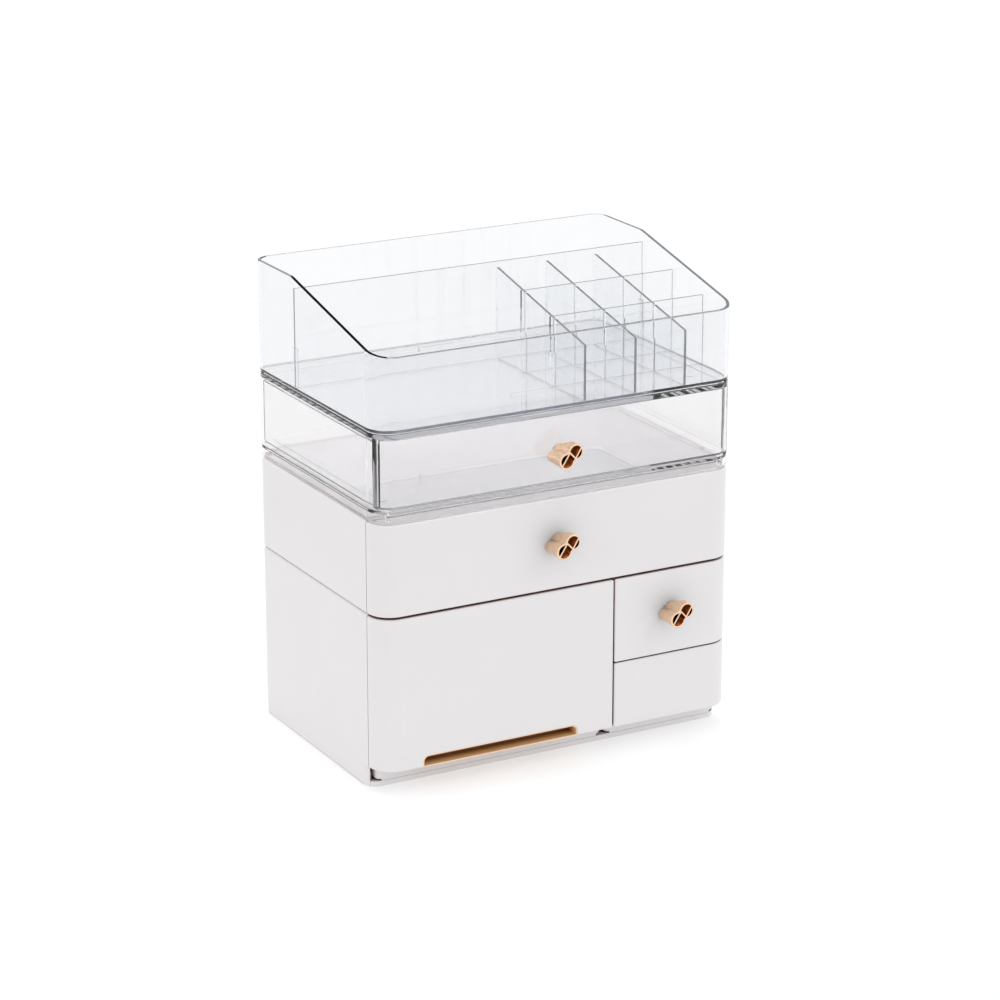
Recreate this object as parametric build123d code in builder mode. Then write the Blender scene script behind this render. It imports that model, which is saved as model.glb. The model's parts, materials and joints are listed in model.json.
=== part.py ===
# Stacked bathroom organizer: white base with three drawers, white middle module,
# clear drawer module and clear top tray with removable dividers.
# Millimetres. X to the right, Y to the back, Z up; origin at the centre of the footprint.
import os

from build123d import *

os.makedirs("parts", exist_ok=True)

# Plan of the whole stack
body_width = 300.0
body_depth = 202.0
front_corner_r = 18.0
back_corner_r = 12.0

# Height of each module
base_height = 135.2
middle_height = 71.2
clear_height = 66.7
tray_back_height = 86.3
tray_front_height = 55.8

# Walls of the casings
wall = 2.5
clear_wall = 2.5
clear_top_plate = 3.9
clear_floor = 2.4
clear_skirt = 7.2
clear_gusset = 1.6
clear_gusset_depth = 6.0
clear_gusset_inset = 11.0
skirt = 2.6
edge_r = 2.4
rim_r = 0.8

# Toe at the foot of the base
base_floor_height = 4.0
base_floor_plate = 2.2
floor_pocket_rim = 3.0
back_toe_height = 9.0
back_toe_depth = 10.0
foot_edge_r = 1.2
toe_corner_r = 10.0

# Divider and shelf inside the base
divider_x = 48.1
divider_thickness = 2.4
divider_setback = 7.0
shelf_level = 67.0
shelf_thickness = 2.4
ledge = 1.5
groove_depth = 0.8
fit_gap = 0.1

# Hollow drawer fronts
front_depth = 19.0
front_skin = 2.5
front_edge_r = 1.4
front_seam = 0.8
front_gap = 1.2
column_gap_x = 45.6
level_gap = 0.9
front_rib = 1.5
front_rib_places = (0.25, 0.75)
toe_height = 16.5

# Drawer tubs
tub_wall = 2.0
tub_floor = 2.0
tub_corner_r = 4.0
tub_edge = 1.2
lip_gap = 0.2
side_gap = 0.7
toe_slot = 3.9
guide_rib_width = 1.6
guide_rib_height = 5.0
rear_gap = 3.0
step_gap = 1.0
clear_frame_lip = 0.9
clear_drawer_edge_r = 2.5
opening_gap = 0.7

# Glides under the tubs, and the stops that keep a drawer from falling out
glide_width = 4.0
glide_height = 0.8
glide_inset = 12.0
glide_gap = 0.2
stop_rib_setback = 30.0
stop_rib_thickness = 2.0
stop_rib_height = 3.0
stop_width = 30.0
stop_gap = 0.5

# Finger pull at the lower edge of the tall front
pull_center_x = -50.0
pull_width = 130.0
pull_height = 9.0
pull_depth = 13.0
pull_corner_r = 5.0
pull_liner = 0.9
pull_setback = 0.4

# Knobs: two joined discs on a tapered neck, with a zigzag web in the hollow end whose corners
# are given in disc radii; and their screws
knob_disc_r = 6.1
knob_disc_offset = 4.75
knob_angle = 40.0
knob_waist_r = 2.2
knob_rim = 1.2
knob_web = 1.1
knob_zigzag = ((-1.25, -1.08), (-0.22, 0.50), (0.55, -0.31), (1.33, 0.95))
knob_length = 19.0
knob_head = 7.0
knob_hollow = 6.0
knob_edge = 0.4
knob_neck_scale = 0.76
screw_r = 1.8
screw_hole_gap = 0.3
screw_bite = 9.0
screw_head_r = 3.6
screw_head_height = 2.2
screw_edge = 0.7
screw_tip_gap = 0.8
boss_wall = 2.2
small_knob_x = 93.8
small_knob_z = 104.2
middle_knob_x = -4.3
middle_knob_z = 173.9
clear_knob_x = -2.6
clear_knob_z = 242.6

# Stacking: a low rim on top of one module stands inside the skirt of the next
stack_gap = 0.3
locating_gap = 0.6
locating_rim_width = 2.0
locating_rim_height = 1.8
pad_r = 4.0
pad_inset = 26.0
pad_gap = 0.05

# Top tray and its dividers
tray_floor = 2.3
tray_wall = 2.5
tray_flat_depth = 65.0
tray_slope_r = 18.0
tray_edge_r = 2.0
plate_thickness = 2.0
plate_gap = 0.3
floor_gap = 0.2
partition_depth = 134.0
partition_drop = 8.2
plate_drop = 12.3
cross_rise = 2.0
column_pitch = 42.5
row_count = 3
slot_rib = 1.5
slot_rib_height = 30.0
cross_overhang = 3.0

# Levels and faces worked out from the sizes above
front_y = -body_depth / 2
back_y = body_depth / 2
half_width = body_width / 2
case_y = front_y + front_depth + front_seam
tub_y = front_y + front_depth
glide_y = tub_y + tub_wall + side_gap
tub_back_y = back_y - wall - rear_gap
base_tub_back_y = back_y - back_toe_depth - wall - step_gap
base_top = base_height
middle_top = base_top + middle_height
clear_bottom = middle_top + stack_gap
clear_top = clear_bottom + clear_height
tray_bottom = clear_top + stack_gap
tray_floor_top = tray_bottom + tray_floor
tray_top = tray_bottom + tray_back_height
partition_y = front_y + partition_depth
base_ceiling = base_top - wall
middle_floor_top = base_top + skirt + wall
middle_ceiling = middle_top - wall
clear_floor_top = clear_bottom + clear_skirt + clear_floor
clear_ceiling = clear_top - clear_top_plate
tub_lift = glide_height + glide_gap
tall_x0 = -half_width + wall + toe_slot
tall_x1 = divider_x - divider_thickness / 2 - side_gap
small_x0 = divider_x + divider_thickness / 2 + side_gap
small_x1 = half_width - wall - side_gap
middle_x = half_width - wall - side_gap
shelf_top = shelf_level + shelf_thickness
small_gap_z = shelf_level + shelf_thickness / 2
opening_half = half_width - clear_wall - clear_frame_lip
clear_drawer_half = opening_half - opening_gap
tolerance = 0.01
overrun = 1.0


def outline(inset=0.0):
    """Plan outline of the stack, moved inwards by inset."""
    with BuildSketch() as plan:
        Rectangle(body_width - 2 * inset, body_depth - 2 * inset)
        fillet(plan.vertices().group_by(Axis.Y)[0], front_corner_r - inset)
        fillet(plan.vertices().group_by(Axis.Y)[-1], back_corner_r - inset)
    return plan.sketch


def case_plan(inset=0.0, front_inset=0.0):
    """Plan of a white casing, which ends behind the drawer fronts."""
    with BuildSketch() as plan:
        add(outline(inset))
        with Locations((0, case_y + front_inset)):
            Rectangle(body_width, body_depth, align=(Align.CENTER, Align.MIN), mode=Mode.INTERSECT)
    return plan.sketch


def toe_plan(inset=0.0):
    """Plan of the foot of the base, whose front corners are rounded at the toe."""
    with BuildSketch() as plan:
        with Locations((0, tub_y)):
            Rectangle(body_width - 2 * inset, body_depth, align=(Align.CENTER, Align.MIN))
        fillet(plan.vertices().group_by(Axis.Y)[0], toe_corner_r - inset)
    return plan.sketch


def front_plan(x0, x1, inset=0.0):
    """Plan of a drawer front between x0 and x1."""
    with BuildSketch() as plan:
        add(outline(inset))
        with Locations((x0, front_y)):
            Rectangle(x1 - x0, front_depth, align=(Align.MIN, Align.MIN), mode=Mode.INTERSECT)
    return plan.sketch


def save(piece, name):
    """Label one finished piece and write its file."""
    piece.label = name
    export_step(piece, f"parts/{name}.step")


def add_block(x0, x1, y0, y1, z0, z1, mode=Mode.ADD):
    """Block between two corners, in the part that is being built."""
    with Locations((x0, y0, z0)):
        Box(x1 - x0, y1 - y0, z1 - z0, align=(Align.MIN, Align.MIN, Align.MIN), mode=mode)


def add_glides(x0, x1, y1, level):
    """Two low ribs that carry a drawer, from behind its front wall to y1."""
    half = glide_width / 2
    for center in (x0 + glide_inset, x1 - glide_inset):
        add_block(center - half, center + half, glide_y, y1, level, level + glide_height)


def add_stop_rib(center_x, ceiling):
    """Rib under a ceiling that the tab on the back of a tub meets."""
    rib_y = case_y + stop_rib_setback
    half = stop_width / 2
    add_block(center_x - half, center_x + half, rib_y, rib_y + stop_rib_thickness,
              ceiling - stop_rib_height, ceiling)


def screw_bore(x, z, y0, y1, radius):
    """Round hole along Y from y0 to y1."""
    with BuildSketch(Plane.XZ.offset(-y1)) as bore:
        with Locations((x, z)):
            Circle(radius)
    extrude(bore.sketch, amount=y1 - y0, mode=Mode.SUBTRACT)


def drawer_tub(name, x0, x1, y1, level, ceiling, knob=None):
    """Open tub that stands on its glides under a ceiling; knob gives the screw's x and z."""
    bottom = level + tub_lift
    top = ceiling - stop_rib_height - stop_gap
    center = ((x0 + x1) / 2, (tub_y + y1) / 2)
    width = x1 - x0
    depth = y1 - tub_y
    with BuildPart() as tub:
        with BuildSketch(Plane.XY.offset(bottom)):
            with Locations(center):
                RectangleRounded(width, depth, tub_corner_r)
        extrude(amount=top - bottom)
        chamfer(tub.edges().group_by(Axis.Z)[0], tub_edge)
        with BuildSketch(Plane.XY.offset(bottom + tub_floor)):
            with Locations(center):
                RectangleRounded(width - 2 * tub_wall, depth - 2 * tub_wall, tub_corner_r - tub_wall)
        extrude(amount=top - bottom, mode=Mode.SUBTRACT)
        # Lip under the front wall, which hides the gap that the glides leave
        add_block(x0 + tub_corner_r, x1 - tub_corner_r, tub_y, tub_y + tub_wall, level + lip_gap,
                  bottom + tub_floor)
        # Stop tab on the back wall
        half = stop_width / 2
        add_block(center[0] - half, center[0] + half, y1 - tub_wall, y1, top, ceiling - stop_gap)
        if knob:
            screw_bore(knob[0], knob[1], tub_y - overrun, tub_y + tub_wall + overrun,
                       screw_r + screw_hole_gap)
    save(tub.part, name)


def drawer_front(x0, x1, z0, z1, knob=None):
    """Hollow front with the rounded body outline, open towards the tub."""
    height = z1 - z0
    with BuildPart() as front:
        with BuildSketch(Plane.XY.offset(z0)):
            add(front_plan(x0, x1))
        extrude(amount=height)
        outer = front.edges().filter_by(lambda e: e.center().Y < tub_y - tolerance)
        rims = outer.group_by(Axis.Z)[0] + outer.group_by(Axis.Z)[-1]
        ends = outer.filter_by(Axis.Z).filter_by(lambda e: e.center().Y < front_y + tolerance)
        sharp = ends.filter_by(lambda e: min(abs(e.center().X - x0), abs(e.center().X - x1)) < tolerance)
        fillet(rims + sharp, front_edge_r)
        with BuildSketch(Plane.XY.offset(z0 + front_skin)):
            add(front_plan(x0 + front_skin, x1 - front_skin, front_skin))
        extrude(amount=height - 2 * front_skin, mode=Mode.SUBTRACT)
        # Upright stiffening ribs that bear on the tub
        for share in front_rib_places:
            rib_x = x0 + share * (x1 - x0)
            add_block(rib_x - front_rib / 2, rib_x + front_rib / 2, front_y + front_skin, tub_y,
                      z0 + front_skin, z1 - front_skin)
        if knob:
            with BuildSketch(Plane.XZ.offset(-tub_y)):
                with Locations(knob):
                    Circle(screw_r + screw_hole_gap + boss_wall)
            extrude(amount=front_depth - front_skin)
            screw_bore(knob[0], knob[1], front_y - overrun, tub_y + overrun, screw_r + screw_hole_gap)
    return front.part


def knob_outline(x, z, inset=0.0, scale=1.0):
    """End outline of a knob around x and z: two discs with a rounded waist."""
    disc_r = scale * knob_disc_r - inset
    waist_r = scale * knob_waist_r + inset
    offset_x = scale * knob_disc_offset
    # Each waist circle touches both discs, so its centre is the sum of the radii away from theirs
    waist_y = ((disc_r + waist_r) ** 2 - offset_x ** 2) ** 0.5
    with BuildSketch() as plan:
        with Locations(Location((x, z, 0), (0, 0, knob_angle))):
            Polygon((offset_x, 0), (0, waist_y), (-offset_x, 0), (0, -waist_y), align=None)
            with Locations((0, waist_y), (0, -waist_y)):
                Circle(waist_r, mode=Mode.SUBTRACT)
            with Locations((-offset_x, 0), (offset_x, 0)):
                Circle(disc_r)
    return plan.sketch


def knob_hollow_plan(x, z):
    """Hollow in the end of a knob: what the rim and the web leave open."""
    with BuildSketch() as plan:
        add(knob_outline(x, z, knob_rim))
        with BuildLine():
            Polyline([(x + dx * knob_disc_r, z + dz * knob_disc_r) for dx, dz in knob_zigzag])
        trace(line_width=knob_web, mode=Mode.SUBTRACT)
    return plan.sketch


def double_knob(name, x, z):
    """Knob with a straight head on a tapered neck, standing on the front face."""
    shift = (1 - knob_neck_scale) * (knob_disc_offset + knob_disc_r)
    neck = Vector(x, z) - Vector(shift, 0).rotate(Axis.Z, knob_angle)
    with BuildPart() as knob:
        with BuildSketch(Plane.XZ.offset(-front_y)):
            add(knob_outline(neck.X, neck.Y, 0, knob_neck_scale))
        with BuildSketch(Plane.XZ.offset(knob_length - knob_head - front_y)):
            add(knob_outline(x, z))
        loft(ruled=True)
        with BuildSketch(Plane.XZ.offset(knob_length - knob_head - front_y)):
            add(knob_outline(x, z))
        extrude(amount=knob_head)
        chamfer(knob.edges().group_by(Axis.Y)[0], knob_edge)
        with BuildSketch(Plane.XZ.offset(knob_length - front_y)):
            add(knob_hollow_plan(x, z))
        extrude(amount=-knob_hollow, mode=Mode.SUBTRACT)
        screw_bore(x, z, front_y - screw_bite, front_y + overrun, screw_r + fit_gap)
    save(knob.part, name)


def knob_screw(name, x, z, seat_y):
    """Pan-head screw whose head bears on seat_y inside the tub."""
    with BuildPart() as screw:
        with BuildSketch(Plane.XZ.offset(-seat_y)):
            with Locations((x, z)):
                Circle(screw_r)
        extrude(amount=seat_y - front_y + screw_bite - screw_tip_gap)
        with BuildSketch(Plane.XZ.offset(-seat_y)):
            with Locations((x, z)):
                Circle(screw_head_r)
        extrude(amount=-screw_head_height)
        chamfer(screw.edges().group_by(Axis.Y)[-1], screw_edge)
    save(screw.part, name)


# Base casing: white shell, open at the front and underneath
with BuildPart() as base_casing:
    with BuildSketch():
        add(case_plan())
    extrude(amount=base_top)
    add_block(-half_width, half_width, back_y - back_toe_depth, back_y, 0, back_toe_height, Mode.SUBTRACT)
    top_edges = base_casing.edges().group_by(Axis.Z)[-1]
    fillet(top_edges.filter_by(lambda e: e.center().Y > case_y + tolerance), edge_r)
    foot_edges = base_casing.edges().group_by(Axis.Z)[0]
    fillet(foot_edges.filter_by(lambda e: e.center().Y > case_y + tolerance), foot_edge_r)
    with BuildSketch():
        add(case_plan(wall))
        with Locations((0, back_y)):
            Rectangle(body_width, 2 * (back_toe_depth + wall), mode=Mode.SUBTRACT)
    extrude(amount=back_toe_height + wall, mode=Mode.SUBTRACT)
    with BuildSketch(Plane.XY.offset(back_toe_height + wall)):
        add(case_plan(wall))
    extrude(amount=base_ceiling - back_toe_height - wall, mode=Mode.SUBTRACT)
    # Side walls cut back to the rounded toe
    with BuildSketch():
        add(case_plan())
        add(toe_plan(), mode=Mode.SUBTRACT)
    extrude(amount=toe_height, mode=Mode.SUBTRACT)
    # Groove for the divider, ledge for the shelf, stops and the rim that locates the next module
    add_block(divider_x - divider_thickness / 2 - fit_gap, divider_x + divider_thickness / 2 + fit_gap,
              case_y + divider_setback - fit_gap, back_y - wall, base_ceiling,
              base_ceiling + groove_depth, Mode.SUBTRACT)
    add_block(half_width - wall - ledge, half_width - wall, case_y + divider_setback,
              back_y - back_corner_r, shelf_level - ledge, shelf_level)
    add_stop_rib((tall_x0 + tall_x1) / 2, base_ceiling)
    add_stop_rib((small_x0 + small_x1) / 2, base_ceiling)
    with BuildSketch(Plane.XY.offset(base_top)):
        add(case_plan(wall + locating_gap, wall + locating_gap))
        add(case_plan(wall + locating_gap + locating_rim_width, wall + locating_gap + locating_rim_width),
            mode=Mode.SUBTRACT)
    extrude(amount=locating_rim_height)
save(base_casing.part, "base_casing")

# Base floor: bottom plate with rib pockets underneath and glides on top
floor_x = half_width - wall - fit_gap
floor_back_y = back_y - back_toe_depth - wall - fit_gap
with BuildPart() as base_floor:
    with BuildSketch():
        add(toe_plan())
        with Locations((0, tub_y)):
            Rectangle(2 * floor_x, floor_back_y - tub_y, align=(Align.CENTER, Align.MIN), mode=Mode.INTERSECT)
    extrude(amount=base_floor_height)
    with GridLocations(2 * floor_x / 3, -tub_y, 3, 2):
        Box(2 * floor_x / 3 - floor_pocket_rim, -tub_y - 2 * floor_pocket_rim,
            base_floor_height - base_floor_plate, align=(Align.CENTER, Align.CENTER, Align.MIN),
            mode=Mode.SUBTRACT)
    add_block(divider_x - divider_thickness / 2 - fit_gap, divider_x + divider_thickness / 2 + fit_gap,
              case_y + divider_setback - fit_gap, floor_back_y, base_floor_height - groove_depth,
              base_floor_height, Mode.SUBTRACT)
    add_glides(tall_x0, tall_x1, floor_back_y, base_floor_height)
    add_glides(small_x0, small_x1, floor_back_y, base_floor_height)
    # Rib that guides the tall tub along its open side
    add_block(tall_x0 - side_gap - guide_rib_width, tall_x0 - side_gap, case_y + divider_setback,
              base_tub_back_y, base_floor_height, base_floor_height + guide_rib_height)
save(base_floor.part, "base_floor")

# Divider: upright wall in its grooves, cut round the step at the back
with BuildPart() as base_divider:
    add_block(divider_x - divider_thickness / 2, divider_x + divider_thickness / 2,
              case_y + divider_setback, back_y - wall - fit_gap,
              base_floor_height - groove_depth + fit_gap, base_ceiling + groove_depth - fit_gap)
    add_block(divider_x - divider_thickness / 2, divider_x + divider_thickness / 2,
              floor_back_y, back_y, 0, back_toe_height + wall + fit_gap, Mode.SUBTRACT)
    add_block(divider_x + divider_thickness / 2, divider_x + divider_thickness / 2 + side_gap / 2,
              case_y + divider_setback, back_y - back_corner_r, shelf_level - ledge, shelf_level)
save(base_divider.part, "base_divider")

# Shelf between the two small bays
shelf_x0 = divider_x + divider_thickness / 2 + fit_gap
shelf_x1 = half_width - wall - fit_gap
with BuildPart() as base_shelf:
    with BuildSketch(Plane.XY.offset(shelf_level)):
        add(case_plan(wall + fit_gap, divider_setback))
        with Locations((shelf_x0, 0)):
            Rectangle(shelf_x1 - shelf_x0, body_depth, align=(Align.MIN, Align.CENTER), mode=Mode.INTERSECT)
    extrude(amount=shelf_thickness)
    add_glides(small_x0, small_x1, base_tub_back_y, shelf_top)
    add_stop_rib((small_x0 + small_x1) / 2, shelf_level)
save(base_shelf.part, "base_shelf")

# Drawers of the base
drawer_tub("tall_tub", tall_x0, tall_x1, base_tub_back_y, base_floor_height, base_ceiling)
drawer_tub("upper_small_tub", small_x0, small_x1, base_tub_back_y, shelf_top, base_ceiling,
           (small_knob_x, small_knob_z))
drawer_tub("lower_small_tub", small_x0, small_x1, base_tub_back_y, base_floor_height, shelf_level)

tall_front_x1 = column_gap_x
small_front_x0 = column_gap_x + front_gap
fronts_top = base_top - level_gap
upper_front_z = small_gap_z + level_gap / 2
with BuildPart() as tall_front:
    add(drawer_front(-half_width, tall_front_x1, toe_height, fronts_top))
    # Pocket for the finger pull, open at the lower edge
    pocket_half = pull_width / 2 + front_skin
    add_block(pull_center_x - pocket_half, pull_center_x + pocket_half, front_y + front_skin,
              front_y + pull_depth + front_skin, toe_height, toe_height + pull_height + front_skin)
    with BuildSketch(Plane.XZ.offset(-front_y)) as notch:
        with Locations((pull_center_x, toe_height)):
            Rectangle(pull_width, 2 * pull_height)
        fillet(notch.vertices().group_by(Axis.Y)[-1], pull_corner_r)
    extrude(amount=-pull_depth, mode=Mode.SUBTRACT)
save(tall_front.part, "tall_front")

with BuildPart() as finger_pull:
    with BuildSketch(Plane.XZ.offset(-front_y - pull_setback)) as liner:
        with Locations((pull_center_x, toe_height)):
            Rectangle(pull_width - 2 * fit_gap, pull_height - fit_gap, align=(Align.CENTER, Align.MIN))
        fillet(liner.vertices().group_by(Axis.Y)[-1], pull_corner_r - fit_gap)
    extrude(amount=pull_setback + fit_gap - pull_depth)
    with BuildSketch(Plane.XZ.offset(-front_y)) as scoop:
        with Locations((pull_center_x, toe_height + pull_liner)):
            Rectangle(pull_width - 2 * (fit_gap + pull_liner), pull_height - fit_gap - 2 * pull_liner,
                      align=(Align.CENTER, Align.MIN))
        fillet(scoop.vertices().group_by(Axis.Y)[-1], pull_corner_r - fit_gap - pull_liner)
    extrude(amount=fit_gap + pull_liner - pull_depth, mode=Mode.SUBTRACT)
save(finger_pull.part, "finger_pull")

save(drawer_front(small_front_x0, half_width, upper_front_z, fronts_top, (small_knob_x, small_knob_z)),
     "upper_small_front")
save(drawer_front(small_front_x0, half_width, toe_height, upper_front_z - level_gap), "lower_small_front")
double_knob("upper_small_knob", small_knob_x, small_knob_z)
knob_screw("upper_small_screw", small_knob_x, small_knob_z, tub_y + tub_wall)

# Middle casing: white sleeve with a skirt underneath
with BuildPart() as middle_casing:
    with BuildSketch(Plane.XY.offset(base_top)):
        add(case_plan())
    extrude(amount=middle_height)
    long_edges = middle_casing.edges().group_by(Axis.Z)[0] + middle_casing.edges().group_by(Axis.Z)[-1]
    fillet(long_edges.filter_by(lambda e: e.center().Y > case_y + tolerance), edge_r)
    with BuildSketch(Plane.XY.offset(base_top)):
        add(case_plan(wall, wall))
    extrude(amount=skirt, mode=Mode.SUBTRACT)
    with BuildSketch(Plane.XY.offset(middle_floor_top)):
        add(case_plan(wall))
    extrude(amount=middle_ceiling - middle_floor_top, mode=Mode.SUBTRACT)
    add_glides(-middle_x, middle_x, tub_back_y, middle_floor_top)
    add_stop_rib(0, middle_ceiling)
    with BuildSketch(Plane.XY.offset(middle_top)):
        add(case_plan(wall + locating_gap, wall + locating_gap))
        add(case_plan(wall + locating_gap + locating_rim_width, wall + locating_gap + locating_rim_width),
            mode=Mode.SUBTRACT)
    extrude(amount=locating_rim_height)
save(middle_casing.part, "middle_casing")

# Middle drawer
drawer_tub("middle_tub", -middle_x, middle_x, tub_back_y, middle_floor_top, middle_ceiling,
           (middle_knob_x, middle_knob_z))
save(drawer_front(-half_width, half_width, base_top + level_gap, middle_top - level_gap / 2,
                  (middle_knob_x, middle_knob_z)), "middle_front")
double_knob("middle_knob", middle_knob_x, middle_knob_z)
knob_screw("middle_screw", middle_knob_x, middle_knob_z, tub_y + tub_wall)

# Clear casing: full outline, framed opening at the front, deep skirt underneath
with BuildPart() as clear_casing:
    with BuildSketch(Plane.XY.offset(clear_bottom)):
        add(outline())
    extrude(amount=clear_height)
    fillet(clear_casing.edges().group_by(Axis.Z)[0], edge_r)
    fillet(clear_casing.edges().group_by(Axis.Z)[-1], rim_r)
    with BuildSketch(Plane.XY.offset(clear_bottom)):
        add(outline(clear_wall))
    extrude(amount=clear_skirt, mode=Mode.SUBTRACT)
    with BuildSketch(Plane.XY.offset(clear_floor_top)):
        add(outline(clear_wall))
    extrude(amount=clear_ceiling - clear_floor_top, mode=Mode.SUBTRACT)
    with BuildSketch(Plane.XZ.offset(-front_y)) as opening:
        with Locations((0, clear_floor_top)):
            Rectangle(2 * opening_half, clear_ceiling - clear_floor_top, align=(Align.CENTER, Align.MIN))
        fillet(opening.vertices().group_by(Axis.Y)[0], clear_drawer_edge_r + opening_gap)
    extrude(amount=-front_corner_r, mode=Mode.SUBTRACT)
    add_glides(-clear_drawer_half, clear_drawer_half, tub_back_y, clear_floor_top)
    add_stop_rib(0, clear_ceiling)
    for gusset_x in (clear_gusset_inset - half_width, half_width - clear_gusset_inset):
        add_block(gusset_x - clear_gusset / 2, gusset_x + clear_gusset / 2, front_y + clear_wall,
                  front_y + clear_wall + clear_gusset_depth, clear_bottom + clear_gusset,
                  clear_bottom + clear_skirt)
save(clear_casing.part, "clear_casing")

# Clear drawer: tub and front in one moulding, the front follows the rounded outline
clear_drawer_bottom = clear_floor_top + tub_lift
clear_drawer_side_top = clear_ceiling - stop_rib_height - stop_gap
clear_front_reach = front_corner_r / 2


def clear_drawer_plan(inset=0.0):
    """Plan of the clear drawer, moved inwards by inset."""
    half = clear_drawer_half - inset
    with BuildSketch() as plan:
        add(outline(inset))
        with Locations((0, tub_back_y - inset)):
            Rectangle(2 * half, body_depth, align=(Align.CENTER, Align.MAX), mode=Mode.INTERSECT)
        fillet(plan.vertices().group_by(Axis.Y)[-1], tub_corner_r - inset)
    return plan.sketch


with BuildPart() as clear_drawer:
    with BuildSketch(Plane.XY.offset(clear_drawer_bottom)):
        add(clear_drawer_plan())
    extrude(amount=clear_drawer_side_top - clear_drawer_bottom)
    with BuildSketch(Plane.XY.offset(clear_drawer_bottom)):
        add(clear_drawer_plan())
        with Locations((0, front_y)):
            Rectangle(body_width, 2 * clear_front_reach, mode=Mode.INTERSECT)
    extrude(amount=clear_ceiling - stop_gap - clear_drawer_bottom)
    fillet(clear_drawer.edges().group_by(Axis.Z)[0], clear_drawer_edge_r)
    with BuildSketch(Plane.XY.offset(clear_drawer_bottom + tub_floor)):
        add(clear_drawer_plan(tub_wall))
    extrude(amount=clear_height, mode=Mode.SUBTRACT)
    add_block(-stop_width / 2, stop_width / 2, tub_back_y - tub_wall, tub_back_y,
              clear_drawer_side_top, clear_ceiling - stop_gap)
    screw_bore(clear_knob_x, clear_knob_z, front_y - overrun, front_y + tub_wall + overrun,
               screw_r + screw_hole_gap)
save(clear_drawer.part, "clear_drawer")
double_knob("clear_knob", clear_knob_x, clear_knob_z)
knob_screw("clear_screw", clear_knob_x, clear_knob_z, front_y + tub_wall)

# Top tray: high back, sides that slope down to a low front
tray_half = half_width - tray_wall
tray_front_top = tray_bottom + tray_front_height
slope_y = back_y - tray_flat_depth
slope = (tray_top - tray_front_top) / (slope_y - front_y)


def rim_height(y):
    """Height of the sloping rim at y."""
    return min(tray_top, tray_top - slope * (slope_y - y))


with BuildPart() as tray:
    with BuildSketch(Plane.XY.offset(tray_bottom)):
        add(outline())
    extrude(amount=tray_back_height)
    fillet(tray.edges().group_by(Axis.Z)[0], tray_edge_r)
    with BuildSketch(Plane.XY.offset(tray_floor_top)):
        add(outline(tray_wall))
    extrude(amount=tray_back_height, mode=Mode.SUBTRACT)
    # Side profile: everything above the sloping rim is cut away
    with BuildSketch(Plane.YZ.offset(-half_width)):
        with BuildLine():
            rim = FilletPolyline((front_y - tray_wall, rim_height(front_y - tray_wall)), (slope_y, tray_top),
                                 (back_y, tray_top), radius=tray_slope_r)
            Polyline(rim @ 1, (back_y, tray_top + tray_wall), (front_y - tray_wall, tray_top + tray_wall),
                     rim @ 0)
        make_face()
    extrude(amount=body_width, mode=Mode.SUBTRACT)
    rims = tray.edges().filter_by(lambda e: e.center().Z > tray_front_top - tray_wall)
    fillet(rims.filter_by(lambda e: e.length > 2 * tray_wall), rim_r)
    # Ribs on the side walls that hold the rear partition
    for side in (-1, 1):
        for edge in (-1, 1):
            rib_y = partition_y + edge * (plate_thickness / 2 + plate_gap + slot_rib / 2)
            with Locations((side * (tray_half - slot_rib / 2), rib_y, tray_floor_top)):
                Box(slot_rib, slot_rib, slot_rib_height, align=(Align.CENTER, Align.CENTER, Align.MIN))
    # Pads that the tray stands on
    with BuildSketch(Plane.XY.offset(tray_bottom)):
        with GridLocations(body_width - 2 * pad_inset, body_depth - 2 * pad_inset, 2, 2):
            Circle(pad_r)
    extrude(amount=pad_gap - stack_gap)
save(tray.part, "tray")

# Dividers, lifted a hair above the tray floor
plate_bottom = tray_floor_top + floor_gap
row_pitch = (partition_y - plate_thickness / 2 - front_y - tray_wall) / row_count
plate_front_y = front_y + tray_wall + plate_gap
plate_back_y = partition_y - plate_thickness / 2 - plate_gap
column_x = [tray_half - column_pitch * (3 - k) for k in range(3)]
row_y = [front_y + tray_wall + row_pitch * k for k in range(1, row_count)]

with BuildPart() as rear_partition:
    add_block(-tray_half + plate_gap, tray_half - plate_gap, partition_y - plate_thickness / 2,
              partition_y + plate_thickness / 2, plate_bottom, rim_height(partition_y) - partition_drop)
save(rear_partition.part, "rear_partition")

for number, x in enumerate(column_x, start=1):
    with BuildPart() as long_plate:
        with BuildSketch(Plane.YZ.offset(x - plate_thickness / 2)):
            with BuildLine():
                Polyline((plate_front_y, plate_bottom), (plate_back_y, plate_bottom),
                         (plate_back_y, rim_height(plate_back_y) - plate_drop),
                         (plate_front_y, rim_height(plate_front_y) - plate_drop), close=True)
            make_face()
        extrude(amount=plate_thickness)
        # Half-lap slots from above for the cross plates
        for y in row_y:
            lap_z = (plate_bottom + rim_height(y) - plate_drop) / 2
            add_block(x - plate_thickness, x + plate_thickness, y - plate_thickness / 2 - plate_gap,
                      y + plate_thickness / 2 + plate_gap, lap_z, tray_top, Mode.SUBTRACT)
    save(long_plate.part, f"long_divider_{number}")

for number, y in enumerate(row_y, start=1):
    with BuildPart() as cross_plate:
        add_block(column_x[0] - plate_thickness / 2 - cross_overhang, tray_half - plate_gap,
                  y - plate_thickness / 2, y + plate_thickness / 2, plate_bottom,
                  rim_height(y) - plate_drop + cross_rise)
        # Half-lap slots from below for the long plates
        lap_z = (plate_bottom + rim_height(y) - plate_drop) / 2 + plate_gap
        for x in column_x:
            add_block(x - plate_thickness / 2 - plate_gap, x + plate_thickness / 2 + plate_gap,
                      y - plate_thickness, y + plate_thickness, tray_bottom, lap_z, Mode.SUBTRACT)
    save(cross_plate.part, f"cross_divider_{number}")
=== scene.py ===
import json
import math

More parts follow.
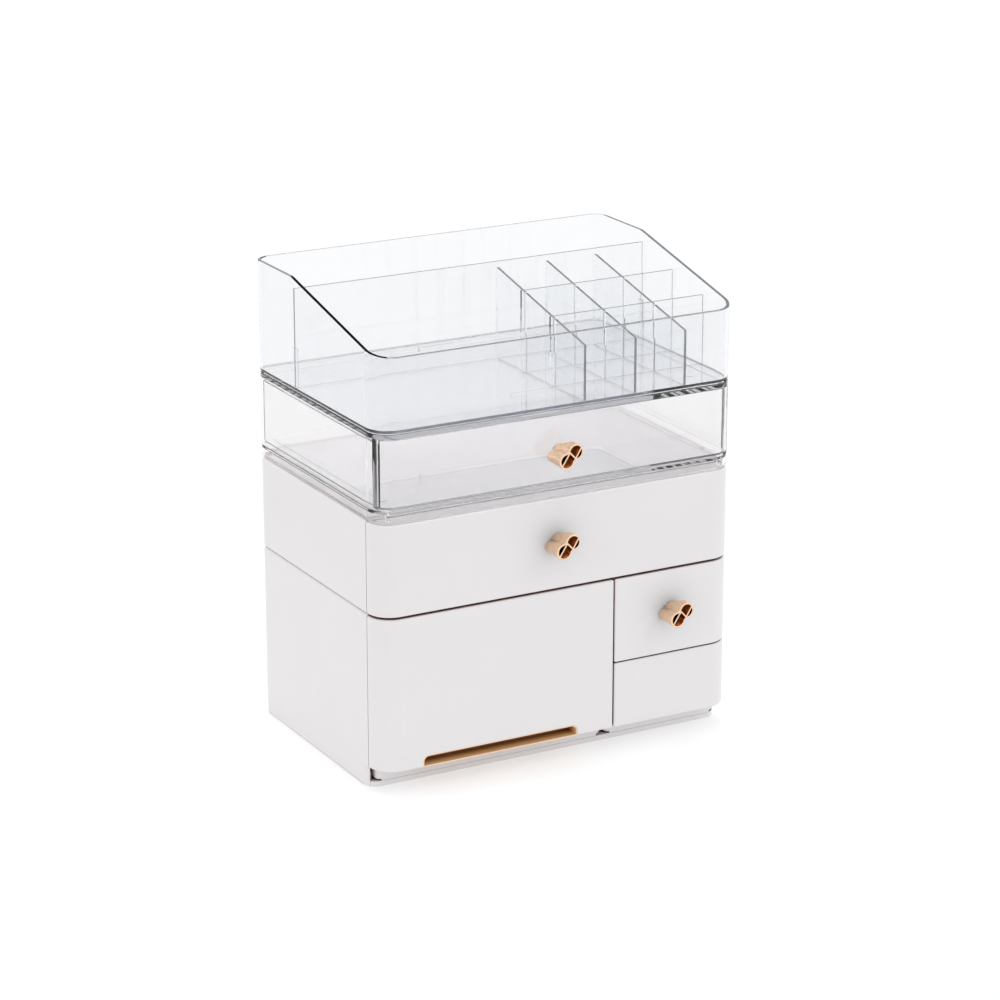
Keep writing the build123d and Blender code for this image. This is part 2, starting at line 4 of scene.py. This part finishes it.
import bpy
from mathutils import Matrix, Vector


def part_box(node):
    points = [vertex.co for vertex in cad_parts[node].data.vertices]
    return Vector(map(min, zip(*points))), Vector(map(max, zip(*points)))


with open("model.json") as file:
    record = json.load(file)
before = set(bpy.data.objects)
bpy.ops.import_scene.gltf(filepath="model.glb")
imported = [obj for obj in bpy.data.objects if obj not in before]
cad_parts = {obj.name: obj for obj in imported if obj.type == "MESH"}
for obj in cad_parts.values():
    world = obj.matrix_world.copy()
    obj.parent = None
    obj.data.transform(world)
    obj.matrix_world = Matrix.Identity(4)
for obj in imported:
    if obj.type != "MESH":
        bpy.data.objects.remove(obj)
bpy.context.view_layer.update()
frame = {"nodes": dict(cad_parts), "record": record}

scene = bpy.context.scene
nodes = frame["nodes"]

# Reach of the painted shade in gaps and in the hollows of the knobs, in metres
gap_painted_shade_reach = 0.007
hollow_painted_shade_reach = 0.008

# Painted shade on the edges of the clear plates and the tray's rim, at a share of 1
edge_painted_shade_grey = (0.20, 0.205, 0.22)
edge_cover = 0.45
edge_roughness = 0.3
edge_gloss_loss = 0.22

# Where the painted edge shade lies, from positions and the size of a normal's Z or Y, and its share
# there
level_z = 0.35
sloping_y = 0.1
rim_z = 0.31
left_wall_x = -0.14
back_wall_y = 0.085
rim_share = 0.75
# Share of the painted dark reflection on the tray's left sloping rim
dark_rim_painted_reflection_share = 1.45
far_rim_loss = 0.45
plate_share = 0.8
foot_share = 1.0
slot_reach = 0.0045

# Depth of the finger pull's liner, from its mouth to its back, over which its painted light and
# shade run
pull_mouth_y = -0.1006
pull_back_y = -0.088

# Camera: fitted to the photo, the principal point in the middle
camera_lens = 123.74
camera_place = (-1.18885, -2.16532, 0.98201)
camera_azimuth = math.radians(-28.86)
camera_elevation = math.radians(18.09)


# Material helpers
def new_material(name):
    mat = bpy.data.materials.new(name)
    mat.use_nodes = True
    tree = mat.node_tree
    tree.nodes.clear()
    output = tree.nodes.new("ShaderNodeOutputMaterial")
    shader = tree.nodes.new("ShaderNodeBsdfPrincipled")
    tree.links.new(shader.outputs["BSDF"], output.inputs["Surface"])
    return mat, tree, shader, output


def noise(tree, scale, detail=3.0):
    coords = tree.nodes.new("ShaderNodeTexCoord")
    node = tree.nodes.new("ShaderNodeTexNoise")
    node.inputs["Scale"].default_value = scale
    node.inputs["Detail"].default_value = detail
    node.inputs["Roughness"].default_value = 0.5
    tree.links.new(coords.outputs["Object"], node.inputs["Vector"])
    return node.outputs["Fac"]


def ramp(tree, source, stops):
    node = tree.nodes.new("ShaderNodeValToRGB")
    elements = node.color_ramp.elements
    while len(elements) < len(stops):
        elements.new(0.5)
    for element, (stop, color) in zip(elements, stops):
        element.position = stop
        element.color = color
    tree.links.new(source, node.inputs["Fac"])
    return node.outputs["Color"]


def opaque(color, share=1.0):
    return (*(channel * share for channel in color), 1.0)


def grey(value):
    return opaque((value,) * 3)


def add_bump(tree, shader, height, strength, distance):
    bump = tree.nodes.new("ShaderNodeBump")
    bump.inputs["Strength"].default_value = strength
    bump.inputs["Distance"].default_value = distance
    tree.links.new(height, bump.inputs["Height"])
    tree.links.new(bump.outputs["Normal"], shader.inputs["Normal"])


def math_node(tree, operation, a, b=None, c=None):
    node = tree.nodes.new("ShaderNodeMath")
    node.operation = operation
    for socket, value in zip(node.inputs, (a, b, c)):
        if isinstance(value, (int, float)):
            socket.default_value = value
        elif value is not None:
            tree.links.new(value, socket)
    return node.outputs["Value"]


def position(tree):
    coords = tree.nodes.new("ShaderNodeTexCoord")
    place = tree.nodes.new("ShaderNodeSeparateXYZ")
    tree.links.new(coords.outputs["Object"], place.inputs["Vector"])
    return place.outputs


def mix_colors(tree, share, a, b, blend="MIX"):
    node = tree.nodes.new("ShaderNodeMix")
    node.data_type = "RGBA"
    node.blend_type = blend
    for name, value in (("Factor", share), ("A", a), ("B", b)):
        if isinstance(value, (int, float, tuple)):
            node.inputs[name].default_value = value
        else:
            tree.links.new(value, node.inputs[name])
    return node.outputs["Result"]


def openness(tree, reach, samples, only_local=False):
    node = tree.nodes.new("ShaderNodeAmbientOcclusion")
    node.samples = samples
    node.only_local = only_local
    node.inputs["Distance"].default_value = reach
    return node.outputs["AO"]


# White moulded plastic: faint mottling, satin gloss, painted brownish shade in narrow gaps
def white_plastic(name, color, gap_painted_shade_color):
    mat, tree, shader, _ = new_material(name)
    base = ramp(tree, noise(tree, 22.0, 4.0), [(0.3, opaque(color, 0.985)), (0.7, opaque(color))])
    # Painted shade: brown where ambient occlusion finds a narrow gap
    gap_painted_shade = ramp(tree, openness(tree, gap_painted_shade_reach, 8), [(0.14, grey(1.0)), (0.42, grey(0.0))])
    tree.links.new(mix_colors(tree, gap_painted_shade, base, opaque(gap_painted_shade_color)), shader.inputs["Base Color"])
    rough = ramp(tree, noise(tree, 160.0, 2.0), [(0.3, grey(0.30)), (0.7, grey(0.36))])
    tree.links.new(rough, shader.inputs["Roughness"])
    shader.inputs["IOR"].default_value = 1.5
    add_bump(tree, shader, noise(tree, 900.0, 2.0), 0.08, 0.0002)
    return mat


# Share of painted edge shade on a clear piece: 0 on its broad faces, more on its narrow ones
def edge_painted_shade_mask(tree, edge):
    geometry = tree.nodes.new("ShaderNodeNewGeometry")
    normal = tree.nodes.new("ShaderNodeSeparateXYZ")
    tree.links.new(geometry.outputs["True Normal"], normal.inputs["Vector"])
    normal = normal.outputs
    place = position(tree)
    level = math_node(tree, "GREATER_THAN", math_node(tree, "ABSOLUTE", normal["Z"]), level_z)
    if edge == "rim":
        high = math_node(tree, "GREATER_THAN", place["Z"], rim_z)
        across = math_node(tree, "ABSOLUTE", normal["Y"])
        sloping = math_node(tree, "GREATER_THAN", across, sloping_y)
        left = math_node(tree, "LESS_THAN", place["X"], left_wall_x)
        far = math_node(tree, "GREATER_THAN", place["Y"], back_wall_y)
        # Painted dark reflection on the left sloping rim; less painted shade on the back rim
        painted_dark_reflection = math_node(tree, "MULTIPLY", sloping, left)
        share = math_node(tree, "MULTIPLY_ADD", painted_dark_reflection, dark_rim_painted_reflection_share, rim_share)
        share = math_node(tree, "SUBTRACT", share, math_node(tree, "MULTIPLY", far, far_rim_loss))
        return math_node(tree, "MULTIPLY", math_node(tree, "MULTIPLY", level, high), share)
    narrow = math_node(tree, "LESS_THAN", math_node(tree, "ABSOLUTE", normal[edge]), 0.5)
    # The faces of the slots where plates cross have no painted edge shade
    along = "Y" if edge == "X" else "X"
    end = None
    for middle in crossings[edge]:
        away = math_node(tree, "ABSOLUTE", math_node(tree, "SUBTRACT", place[along], middle))
        free = math_node(tree, "GREATER_THAN", away, slot_reach)
        end = math_node(tree, "MULTIPLY", end, free) if end else free
    narrow = math_node(tree, "MULTIPLY", narrow, math_node(tree, "MAXIMUM", level, end))
    # Downward narrow faces get a stronger painted shade
    under = math_node(tree, "LESS_THAN", normal["Z"], -0.5)
    share = math_node(tree, "MULTIPLY_ADD", under, foot_share, plate_share)
    return math_node(tree, "MULTIPLY", narrow, share)


# Clear plastic: faint tint at each surface, light absorbed along the plates, narrow faces
# satin and greyer with painted shade, lamps shine through
def clear_plastic(name, surface_tint, lamp_tint, depth_tint, density, edge=None):
    mat, tree, shader, output = new_material(name)
    haze = noise(tree, 60.0)
    color = ramp(tree, haze, [(0.3, opaque(surface_tint, 0.99)), (0.7, opaque(surface_tint))])
    rough = ramp(tree, haze, [(0.35, grey(0.0)), (0.8, grey(0.03))])
    shader.inputs["Transmission Weight"].default_value = 1.0
    if edge:
        mask = edge_painted_shade_mask(tree, edge)
        # Painted shade on narrow faces: grey, near black where the share is high
        edge_painted_shade_color = ramp(tree, math_node(tree, "MULTIPLY", mask, 0.5),
                          [(0.5, opaque(edge_painted_shade_grey)), (0.9, grey(0.004))])
        color = mix_colors(tree, mask, color, edge_painted_shade_color)
        rough = math_node(tree, "MAXIMUM", rough, math_node(tree, "MULTIPLY", mask, edge_roughness))
        cover = math_node(tree, "SUBTRACT", 1.0, math_node(tree, "MULTIPLY", mask, edge_cover))
        tree.links.new(cover, shader.inputs["Transmission Weight"])
        gloss = math_node(tree, "SUBTRACT", 0.5, math_node(tree, "MULTIPLY", mask, edge_gloss_loss))
        tree.links.new(gloss, shader.inputs["Specular IOR Level"])
    tree.links.new(color, shader.inputs["Base Color"])
    tree.links.new(rough, shader.inputs["Roughness"])
    shader.inputs["IOR"].default_value = 1.49
    add_bump(tree, shader, noise(tree, 18.0, 1.0), 0.01, 0.0004)
    lamps_through = tree.nodes.new("ShaderNodeBsdfTransparent")
    lamps_through.inputs["Color"].default_value = opaque(lamp_tint)
    path = tree.nodes.new("ShaderNodeLightPath")
    either = tree.nodes.new("ShaderNodeMixShader")
    tree.links.new(path.outputs["Is Shadow Ray"], either.inputs["Fac"])
    tree.links.new(shader.outputs["BSDF"], either.inputs[1])
    tree.links.new(lamps_through.outputs["BSDF"], either.inputs[2])
    tree.links.new(either.outputs["Shader"], output.inputs["Surface"])
    absorb = tree.nodes.new("ShaderNodeVolumeAbsorption")
    absorb.inputs["Color"].default_value = opaque(depth_tint)
    absorb.inputs["Density"].default_value = density
    tree.links.new(absorb.outputs["Volume"], output.inputs["Volume"])
    return mat


# Plated metal: fine grain, painted shade where the surroundings close in
def plated(name, low, high, roughness, hollow_painted_shade_tones=None):
    mat, tree, shader, _ = new_material(name)
    shader.inputs["Metallic"].default_value = 1.0
    grain = noise(tree, 300.0)
    color = ramp(tree, grain, [(0.3, opaque(low)), (0.7, opaque(high))])
    if hollow_painted_shade_tones:
        # Painted shade in the hollows: golden brown, dark brown at the deepest
        tone = ramp(tree, openness(tree, hollow_painted_shade_reach, 12, True), hollow_painted_shade_tones)
        color = mix_colors(tree, 1.0, color, tone, "MULTIPLY")
    tree.links.new(color, shader.inputs["Base Color"])
    rough = ramp(tree, grain, [(0.3, grey(roughness)), (0.7, grey(roughness + 0.06))])
    tree.links.new(rough, shader.inputs["Roughness"])
    add_bump(tree, shader, grain, 0.05, 0.0001)
    return mat


# Gold liner of the finger pull, painted light at its mouth and painted shade at its back
def gold_painted_light_and_shade(name, mouth_y, back_y, stops):
    mat, tree, shader, _ = new_material(name)
    shader.inputs["Metallic"].default_value = 0.25
    depth = tree.nodes.new("ShaderNodeMapRange")
    depth.inputs["From Min"].default_value = mouth_y
    depth.inputs["From Max"].default_value = back_y
    tree.links.new(position(tree)["Y"], depth.inputs["Value"])
    # Painted light at the mouth, painted shade deeper into the pocket
    tree.links.new(ramp(tree, depth.outputs["Result"], stops), shader.inputs["Base Color"])
    grain = noise(tree, 400.0)
    rough = ramp(tree, grain, [(0.3, grey(0.34)), (0.7, grey(0.42))])
    tree.links.new(rough, shader.inputs["Roughness"])
    add_bump(tree, shader, grain, 0.02, 0.0001)
    return mat


centre = {name: sum(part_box(name), Vector()) / 2 for name in nodes
          if "divider" in name or name == "rear_partition"}
crossings = {
    "X": [place.y for name, place in centre.items() if not name.startswith("long")],
    "Y": [place.x for name, place in centre.items() if name.startswith("long")],
}

# Tint at a surface, tint of a lamp's light, tint and density of the depth
neutral_tints = ((0.982, 0.978, 0.981), (0.985, 0.985, 0.985), (0.54, 0.545, 0.575), 7.5)
cool_tints = ((0.957, 0.964, 0.972), (0.985, 0.985, 0.99), (0.50, 0.52, 0.58), 13.0)
light_tints = ((0.976, 0.980, 0.985), (0.985, 0.985, 0.99), (0.60, 0.61, 0.66), 14.0)
# Painted shade of the knob hollows, darkest where least open
hollow_painted_shade_tones = [(0.20, (0.16, 0.08, 0.05, 1.0)), (0.38, (0.90, 0.72, 0.46, 1.0)), (0.75, grey(1.0))]
# Painted light at the pull's mouth, painted shade towards its back
pull_painted_light_and_shade_tones = [(0.0, (0.86, 0.62, 0.42, 1.0)), (0.3, (0.95, 0.60, 0.28, 1.0)),
              (0.7, (0.62, 0.32, 0.11, 1.0)), (0.95, (0.16, 0.065, 0.025, 1.0))]
# The brown is the painted shade of the white plastic's narrow gaps
white = white_plastic("white_plastic", (0.735, 0.72, 0.725), (0.24, 0.085, 0.045))
clear = clear_plastic("clear_plastic", *neutral_tints)
clear_of_piece = {
    "tray": clear_plastic("clear_tray", *cool_tints, "rim"),
    "long_divider": clear_plastic("clear_long_plates", *light_tints, "X"),
    "cross_divider": clear_plastic("clear_cross_plates", *light_tints, "Y"),
}
clear_of_piece["rear_partition"] = clear_of_piece["cross_divider"]
rose_gold = plated("rose_gold", (0.85, 0.56, 0.36), (0.95, 0.70, 0.50), 0.12, hollow_painted_shade_tones)
gold = gold_painted_light_and_shade("gold", pull_mouth_y, pull_back_y, pull_painted_light_and_shade_tones)
steel = plated("zinc_steel", (0.55, 0.56, 0.58), (0.68, 0.69, 0.71), 0.3)
material_of_slot = {
    "white_plastic": white,
    "clear_plastic": clear,
    "gold": rose_gold,
    "screw_steel": steel,
}
slot_of_node = {entry["node"]: entry["material_slot"] for entry in frame["record"]["subparts"]}


def material_for(name):
    if name == "finger_pull":
        return gold
    for start, mat in clear_of_piece.items():
        if name.startswith(start):
            return mat
    return material_of_slot[slot_of_node[name]]


for name, obj in nodes.items():
    obj.data.materials.clear()
    obj.data.materials.append(material_for(name))

# Floor
bpy.ops.mesh.primitive_plane_add(size=1)
floor = bpy.context.object
floor.name = "floor"
floor.scale = (12, 12, 1)
mat, tree, shader, _ = new_material("floor_white")
pale = ramp(tree, noise(tree, 3.0, 2.0), [(0.3, grey(0.55)), (0.7, grey(0.57))])
tree.links.new(pale, shader.inputs["Base Color"])
shader.inputs["Roughness"].default_value = 0.9
shader.inputs["Emission Color"].default_value = grey(1.0)
shader.inputs["Emission Strength"].default_value = 0.43
floor.data.materials.append(mat)


# Lights
def area_light(name, place, aim, size, power, spread=180.0):
    data = bpy.data.lights.new(name, "AREA")
    data.shape = "RECTANGLE"
    data.size, data.size_y = size
    data.energy = power
    data.spread = math.radians(spread)
    light = bpy.data.objects.new(name, data)
    scene.collection.objects.link(light)
    light.location = place
    light.rotation_mode = "QUATERNION"
    light.rotation_quaternion = (Vector(aim) - Vector(place)).to_track_quat("-Z", "Y")


middle = (0.0, 0.0, 0.18)
area_light("fill", (1.5, -1.6, 1.9), middle, (1.3, 1.3), 5.2)
area_light("overhead", (0.0, 0.1, 1.5), (0.0, 0.1, 0.2), (0.6, 0.4), 0.38, 40.0)
area_light("strip", (-1.9, -1.05, 0.55), middle, (0.22, 1.2), 1.0)

world = bpy.data.worlds.new("studio")
scene.world = world
world.use_nodes = True
background = world.node_tree.nodes["Background"]
background.inputs["Color"].default_value = grey(1.0)
background.inputs["Strength"].default_value = 1.04

# Camera
camera_data = bpy.data.cameras.new("camera")
camera_data.lens = camera_lens
camera_data.sensor_width = 36.0
camera_data.clip_start = 0.01
camera_data.clip_end = 50.0
camera = bpy.data.objects.new("camera", camera_data)
scene.collection.objects.link(camera)
camera.location = camera_place
camera.rotation_mode = "XYZ"
camera.rotation_euler = (math.pi / 2 - camera_elevation, 0.0, camera_azimuth)
scene.camera = camera
scene.view_settings.view_transform = "Standard"

# Light is followed far into the stacked clear plates
scene.cycles.max_bounces = 40
scene.cycles.caustics_reflective = False
scene.cycles.glossy_bounces = 32
scene.cycles.transmission_bounces = 32
scene.cycles.transparent_max_bounces = 24
